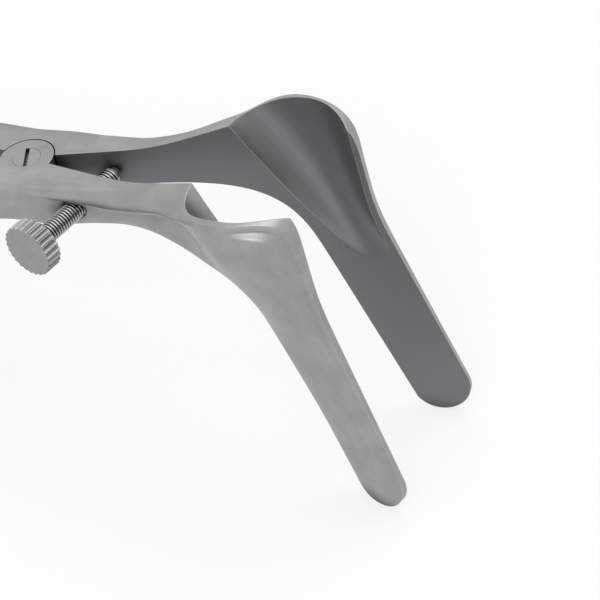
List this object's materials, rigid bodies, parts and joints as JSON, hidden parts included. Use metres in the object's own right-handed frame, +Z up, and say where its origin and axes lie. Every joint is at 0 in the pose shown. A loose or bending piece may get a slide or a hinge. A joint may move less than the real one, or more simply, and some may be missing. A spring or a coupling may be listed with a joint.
{
  "type": "nasal septum speculum",
  "caption": "Self-retaining septum speculum: crossed-lap arms with scooped blades, bowed handles with leaf springs, and a knurled set screw that holds the blades apart.",
  "frame": {"origin": "centre of the bounding box's bottom face, on the surface under the two blade tips and the two handle ends", "axes": "+X from the handles towards the blades, +Y from the arm with the set screw towards the plain arm, +Z up"},
  "size_m": [0.1466, 0.0336, 0.0505],
  "materials": {
    "forged_steel": "satin, fine glass-beaded grain",
    "screw_steel": "satin turned steel",
    "thread_steel": "bright cut thread",
    "knob_steel": "satin face, knurled rim",
    "spring_steel": "fine ground spring steel"
  },
  "bodies": {
    "screw_side": {"screw_arm": "forged_steel", "screw_arm_spring": "spring_steel", "screw_arm_spring_screw": "screw_steel"},
    "plain_side": {"plain_arm": "forged_steel", "pivot_screw": "screw_steel", "plain_arm_spring": "spring_steel", "plain_arm_spring_screw": "screw_steel"},
    "screw_stem": {"set_screw_stem": "thread_steel"},
    "knob": {"thumb_knob": "knob_steel"}
  },
  "joints": [
    {"name": "arm_pivot", "type": "hinge", "parent": "screw_side", "child": "plain_side", "pos_m": [0.00841, 0.00102, 0.0344], "axis": [-0.271, 0, 0.9626], "range_deg": [-24, 6], "deforming": ["screw_arm_spring", "plain_arm_spring"]},
    {"name": "set_screw_travel", "type": "slide", "parent": "screw_side", "child": "screw_stem", "axis": [0.2782, 0.9573, 0.0783], "range_m": [-0.00603, 0.00158]},
    {"name": "knob_turn", "type": "hinge", "parent": "screw_stem", "child": "knob", "pos_m": [0.01589, -0.01571, 0.03287], "axis": [0.2782, 0.9573, 0.0783], "range_deg": [-4276, 1073]}
  ],
  "couplings": [
    {"joint": "set_screw_travel", "follows": "arm_pivot", "m_per_rad": 0.014158},
    {"joint": "knob_turn", "follows": "arm_pivot", "ratio": 177.92}
  ]
}
